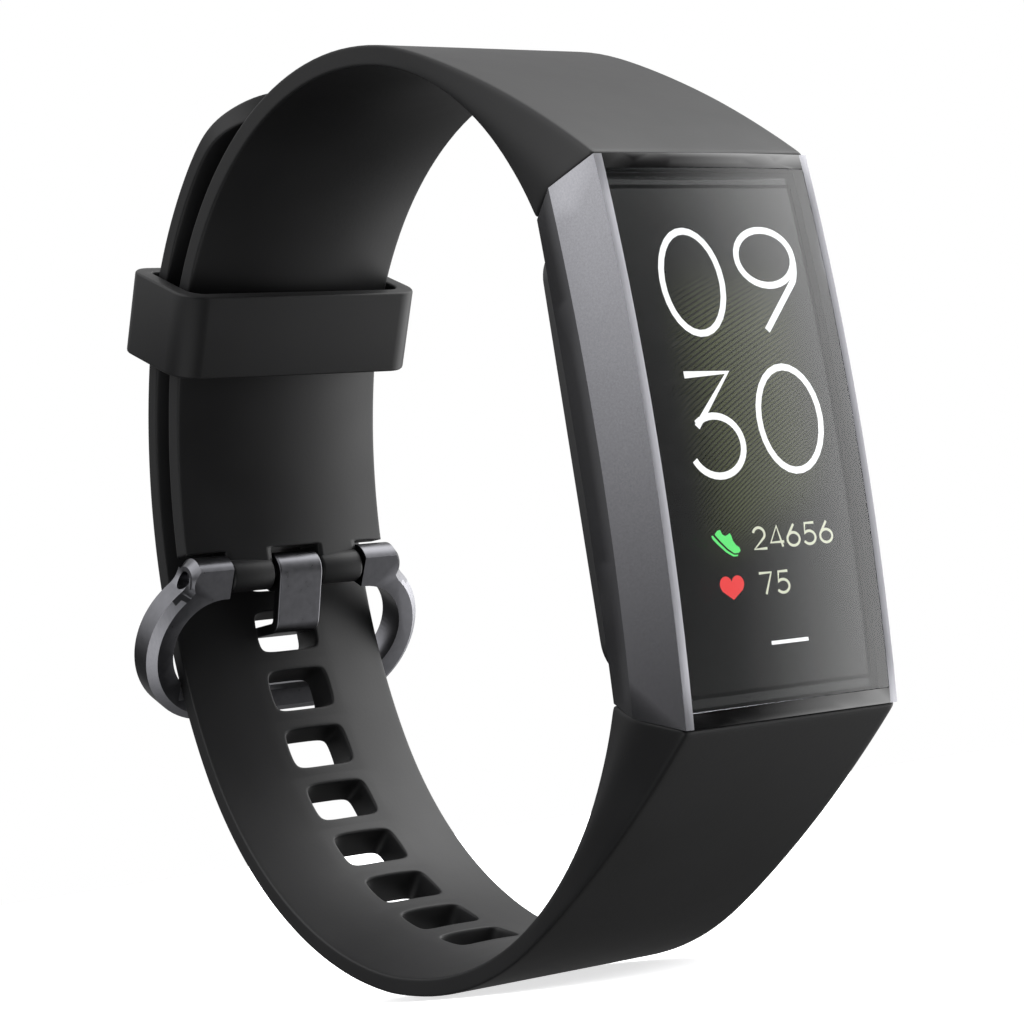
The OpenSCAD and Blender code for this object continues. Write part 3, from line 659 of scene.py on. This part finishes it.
# The lit panel: black between its pixels, with olive stripes that turn from flat at the
# top to steep at the bottom and fade out all round.
panel, tree, shader = finish("lit_display_panel")
place = add(tree, "ShaderNodeTexCoord")
spot = add(tree, "ShaderNodeSeparateXYZ", {"Vector": place.outputs["Object"]})


def sum_of(*terms):
    total = terms[0]
    for term in terms[1:]:
        total = plus(total, term)
    return total


high = times(spot.outputs["Z"], 1 / MM)
wide = times(spot.outputs["X"], 1 / MM)
squared = times(high, high)
lean_off = sum_of(times(high, 1.75), times(squared, 0.062), times(times(squared, high), 0.0011))
pitch = plus(times(high, 0.03), 0.62)
phase = add(tree, "ShaderNodeMath", {0: plus(wide, times(lean_off, -1.0)), 1: pitch}, operation="DIVIDE")
wave = add(tree, "ShaderNodeMath", {0: times(phase.outputs[0], math.tau)}, operation="SINE")
stripe = ramp(wave.outputs[0], -0.9, 0.1, 0.0, 1.0)
shape = times(times(ramp(wide, -7.0, -1.0, 0, 1), ramp(wide, 3.0, 8.5, 1, 0)),
              times(ramp(plus(high, times(wide, -0.35)), -9.5, -4.0, 0, 1), ramp(high, 7.0, 14.0, 1, 0)))
ink = add(tree, "ShaderNodeMix", {"Factor": stripe, "A": tone("#070805"), "B": tone("#4c5033")},
          data_type="RGBA")
tree.links.new(ink.outputs["Result"], shader.inputs["Emission Color"])
tree.links.new(shape, shader.inputs["Emission Strength"])
shader.inputs["Base Color"].default_value = tone("#020202")
shader.inputs["Roughness"].default_value = 0.5
shader.inputs["Specular IOR Level"].default_value = 0.0
panel_low, panel_high = [Vector(v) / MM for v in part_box("display_panel")]
air_gap = 0.05
panel_r = bow_y - panel_low.y - air_gap
panel_thick = 1.1
screen = bowed_plate(panel_high.x, panel_high.z, panel_r, panel_thick, 0)
settle(screen, "display_panel_lit", panel, "band", "display_panel")
border_inset = 0.02
border_drop = 0.01
border_thick = 0.05
border = bowed_plate(glass_high.x - border_inset, glass_high.z - border_inset, panel_r - border_drop,
                     border_thick, 0)
settle(border, "glass_border_print", panel, "band")


def lit_ink(name, code, strength):
    """A lit area of the display, even but for the faint grain of its pixels."""
    made, tree, shader = finish(name)
    place = add(tree, "ShaderNodeTexCoord")
    cells = add(tree, "ShaderNodeTexNoise",
                {"Vector": place.outputs["Object"], "Scale": 1 / (0.08 * MM)})
    level = add(tree, "ShaderNodeMapRange", {"Value": cells.outputs["Fac"], "To Min": strength * 0.92,
                                             "To Max": strength * 1.08})
    tree.links.new(level.outputs[0], shader.inputs["Emission Strength"])
    shader.inputs["Emission Color"].default_value = tone(code)
    shader.inputs["Base Color"].default_value = tone("#050505")
    shader.inputs["Specular IOR Level"].default_value = 0.0
    return made


def arc(x, z, wide, tall, start, end, steps=28):
    """Points along part of an oval, by its middle and half sizes."""
    turns = [math.radians(start + (end - start) * i / steps) for i in range(steps + 1)]
    return [(x + wide * math.cos(turn), z + tall * math.sin(turn)) for turn in turns]


def figure(sign, x, z, wide, tall):
    """The strokes of one small figure in a box with its lower left corner at x, z."""
    shapes = {
        "2": [arc(0.46, 0.69, 0.44, 0.31, 165, -35) + [(0.0, 0.0), (0.98, 0.0)]],
        "4": [[(0.92, 0.0), (0.58, 1.0), (0.0, 0.24), (1.05, 0.24)]],
        "5": [[(0.92, 1.0), (0.2, 1.0), (0.12, 0.52)] + arc(0.46, 0.31, 0.48, 0.31, 128, -150)],
        "6": [arc(0.5, 0.31, 0.48, 0.31, 180, -180), [(0.04, 0.42), (0.62, 1.02)]],
        "7": [[(0.0, 1.0), (0.95, 1.0), (0.4, 0.0)]],
    }
    return [[(x + u * wide, z + v * tall) for u, v in line] for line in shapes[sign]]


lit_r = panel_r + 0.02
pressed = 0.01
# Real glass would bend the view of the figures. This one doesn't, so the whole drawing
# stands this far to one side and up instead, which suits the studio camera only.
bent_view = (0.45, 0, 0.2)


def lay_on(made):
    """Presses a flat drawing onto the display's bowed face."""
    bmesh.ops.translate(made, verts=made.verts, vec=bent_view)
    for v in made.verts:
        v.co.y = bow_y - math.sqrt(lit_r ** 2 - v.co.z ** 2) + v.co.y * pressed
    return made


def strokes(name, lines, width, ink, closed=()):
    """Round-ended strokes of even width, pressed flat against the display."""
    curve = bpy.data.curves.new(name, "CURVE")
    curve.dimensions = "3D"
    curve.bevel_depth = width / 2
    curve.bevel_resolution = 2
    curve.use_fill_caps = True
    for index, line in enumerate(lines):
        spline = curve.splines.new("POLY")
        spline.points.add(len(line) - 1)
        for point, (x, z) in zip(spline.points, line):
            point.co = (x, 0, z, 1)
        spline.use_cyclic_u = index in closed
    holder = bpy.data.objects.new(name + "_line", curve)
    mesh = bpy.data.meshes.new_from_object(holder)
    made = bmesh.new()
    made.from_mesh(mesh)
    bpy.data.objects.remove(holder)
    bmesh.ops.remove_doubles(made, verts=made.verts, dist=1e-4)
    return settle(lay_on(made), name, ink, "band")


def filled(made, points, depth=0.6):
    """A closed outline as a thin solid tile."""
    tile = made.faces.new([made.verts.new((x, -depth / 2, z)) for x, z in points])
    grow(made, [tile], (0, depth, 0))


white_ink = lit_ink("lit_white", "#ffffff", 1.25)
cream_ink = lit_ink("lit_cream", "#eef0d8", 0.95)
green_ink = lit_ink("lit_green", "#6ffc86", 1.0)
red_ink = lit_ink("lit_red", "#ff4a4a", 1.0)
strokes("clock_figures", [
    arc(-3.12, 10.95, 2.77, 3.8, 0, 354),
    arc(4.23, 12.65, 2.72, 2.1, 0, 354),
    arc(4.23, 12.4, 2.72, 3.0, 0, -32, 10) + [(3.1, 7.2)],
    [(-5.55, 4.2), (-1.5, 4.24), (-5.15, 0.42)],
    arc(-3.6, -1.03, 2.48, 2.17, 130, -155),
    arc(3.74, 0.63, 2.95, 3.82, 0, 354)], 0.52, white_ink, closed=(0, 1, 5))
lines = []
for index, sign in enumerate("24656"):
    lines += figure(sign, -1.5 + index * 1.6, -8.6 + index * 0.01, 1.22, 1.52)
for index, sign in enumerate("75"):
    lines += figure(sign, -1.42 + index * 1.6, -11.85, 1.22, 1.52)
strokes("count_figures", lines, 0.2, cream_ink)
strokes("home_bar", [[(-1.0, -15.33), (2.55, -15.33)]], 0.27, white_ink)

heart = bmesh.new()
outline = [(-4.05, -12.0), (-3.1, -11.35)] + arc(-3.5, -10.88, 0.58, 0.57, -35, 140, 12)
outline += [(-4.05, -10.72)] + arc(-4.6, -10.88, 0.58, 0.57, 40, 215, 12) + [(-5.0, -11.35)]
filled(heart, outline)
settle(lay_on(heart), "pulse_heart", red_ink, "band")
shoe = bmesh.new()
filled(shoe, [(-5.05, -7.3), (-4.78, -7.05), (-4.5, -7.0), (-4.36, -7.32), (-4.1, -7.46), (-3.86, -7.4),
              (-3.65, -7.28), (-3.52, -7.5), (-3.44, -7.85), (-3.2, -8.18), (-2.93, -8.34),
              (-2.86, -8.6), (-3.05, -8.74), (-3.46, -8.74), (-4.0, -8.38), (-4.6, -7.8)])
filled(shoe, [(-5.38, -7.4), (-5.24, -7.36), (-4.72, -7.92), (-4.06, -8.52), (-3.5, -8.84), (-3.1, -8.86),
              (-3.2, -8.96), (-3.6, -8.96), (-4.2, -8.62), (-4.9, -8.02), (-5.3, -7.62)])
settle(lay_on(shoe), "step_shoe", green_ink, "band")


# ---- Buckle and tongue ---------------------------------------------------------------
# A cast zinc buckle ring with two ears on the spring bar, and a pressed tongue curled
# round it. Both are plated dark grey, and the ring's front bevel is polished bright.

# Gunmetal plating on a tumbled zinc casting: dark metal, satin, with faint cloudiness
# from tumbling at about 0.6 mm.
gunmetal, tree, shader = finish("gunmetal_plating_satin")
place = add(tree, "ShaderNodeTexCoord")
cloud = add(tree, "ShaderNodeTexNoise",
            {"Vector": place.outputs["Object"], "Scale": 1 / (0.6 * MM), "Detail": 3.0})
shade = add(tree, "ShaderNodeMix",
            {"Factor": cloud.outputs["Fac"], "A": tone("#57575a"), "B": tone("#646468")}, data_type="RGBA")
gloss = add(tree, "ShaderNodeMapRange", {"Value": cloud.outputs["Fac"], "To Min": 0.24, "To Max": 0.36})
relief = add(tree, "ShaderNodeBump",
             {"Height": cloud.outputs["Fac"], "Strength": 0.05, "Distance": 0.01 * MM})
tree.links.new(shade.outputs["Result"], shader.inputs["Base Color"])
tree.links.new(gloss.outputs[0], shader.inputs["Roughness"])
tree.links.new(relief.outputs[0], shader.inputs["Normal"])
shader.inputs["Metallic"].default_value = 1.0

ring = worked_copy("buckle_frame", whole=False)
ring_turn = math.radians(31.5)
ring_facing = Vector((0, -math.cos(ring_turn), -math.sin(ring_turn)))
bevel_least = 0.66
bevel_most = 0.86
ear_r = 1.9
for f in ring.faces:
    spot = f.calc_center_median()
    clear_of_ear = (Vector((0, spot.y, spot.z)) - bar).length > ear_r
    if bevel_least < f.normal.dot(ring_facing) < bevel_most and clear_of_ear:
        f.material_index = 1
bmesh.ops.dissolve_limit(ring, angle_limit=math.radians(flat_angle), verts=ring.verts[:],
                         edges=ring.edges[:], delimit={"MATERIAL"})
soften(settle(ring, "buckle_ring", [gunmetal, bright_cut], "buckle", "buckle_frame"), 0.12, 32)
tongue = worked_copy("buckle_tongue")
soften(settle(tongue, "tongue_strip", gunmetal, "tongue", "buckle_tongue"), 0.12, 32)


# ---- Back cover, buttons and inner parts ---------------------------------------------
# The moulded back with its sensor window and charging contacts, the two strap latches,
# and the parts inside the case, which only show where the case is opened.

def plain_finish(name, low, high, roughness, size, metallic=0.0, bump=0.1):
    """A real finish with its own grain: two close tones mottled at a real size in mm."""
    made, tree, shader = finish(name)
    place = add(tree, "ShaderNodeTexCoord")
    grain = add(tree, "ShaderNodeTexNoise",
                {"Vector": place.outputs["Object"], "Scale": 1 / (size * MM), "Detail": 3.0})
    shade = add(tree, "ShaderNodeMix", {"Factor": grain.outputs["Fac"], "A": tone(low), "B": tone(high)},
                data_type="RGBA")
    relief = add(tree, "ShaderNodeBump",
                 {"Height": grain.outputs["Fac"], "Strength": bump, "Distance": 0.01 * MM})
    tree.links.new(shade.outputs["Result"], shader.inputs["Base Color"])
    tree.links.new(relief.outputs[0], shader.inputs["Normal"])
    shader.inputs["Metallic"].default_value = metallic
    shader.inputs["Roughness"].default_value = roughness
    return made


moulded = plain_finish("moulded_polycarbonate_black", "#161617", "#1e1e20", 0.42, 0.12, bump=0.2)
steel = plain_finish("drawn_stainless_steel", "#b4b4b6", "#c6c6c8", 0.24, 0.3, metallic=1.0)
gold = plain_finish("gold_plated_contact", "#d9ab52", "#e6bd68", 0.2, 0.2, metallic=1.0)
resin = plain_finish("polished_sensor_resin", "#050506", "#0a0a0c", 0.06, 1.5, bump=0.01)
rubber = plain_finish("black_seal_rubber", "#050505", "#080808", 0.9, 0.1)
finishes = {
    "black_rubber": rubber,
    "moulded_black": moulded,
    "bright_steel": steel,
    "gold_plate": gold,
    "sensor_lens": resin,
    "flex_film": plain_finish("polyimide_flex_film", "#a2611c", "#b8742a", 0.3, 0.4),
    "circuit_board": plain_finish("green_solder_mask", "#0c3a20", "#14502c", 0.35, 0.5),
    "chip_resin": plain_finish("moulded_chip_resin", "#1a1a1b", "#222224", 0.6, 0.08),
    "copper_foil": plain_finish("rolled_copper_foil", "#b8713c", "#c9834c", 0.28, 0.3, metallic=1.0),
    "battery_foil": plain_finish("aluminium_pouch_foil", "#b9bcc0", "#c8cacd", 0.35, 0.8, metallic=1.0),
    "tape": plain_finish("adhesive_film", "#c9bd8c", "#d6cb9c", 0.5, 0.5),
    "led_resin": plain_finish("clear_green_led_resin", "#3f9a4c", "#58b664", 0.1, 0.6),
}
for name, body in (("back_cover", "band"), ("sensor_window", "band"), ("charging_contacts", "band"),
                   ("upper_latch_button", "upper_button"), ("lower_latch_button", "lower_button")):
    slot_name = next(part["material_slot"] for part in frame["record"]["subparts"] if part["node"] == name)
    made = worked_copy(name)
    soften(settle(made, name + "_worked", finishes[slot_name], body, name), 0.08, 32)
remodelled = {"case_frame", "cover_glass", "display_panel", "upper_strap", "lower_strap", "keeper_loop",
              "buckle_frame", "buckle_tongue", "back_cover", "sensor_window", "charging_contacts",
              "upper_latch_button", "lower_latch_button"}
for part in frame["record"]["subparts"]:
    if part["node"] in remodelled:
        continue
    node = frame["nodes"][part["node"]]
    node.data.materials.clear()
    node.data.materials.append(finishes[part["material_slot"]])
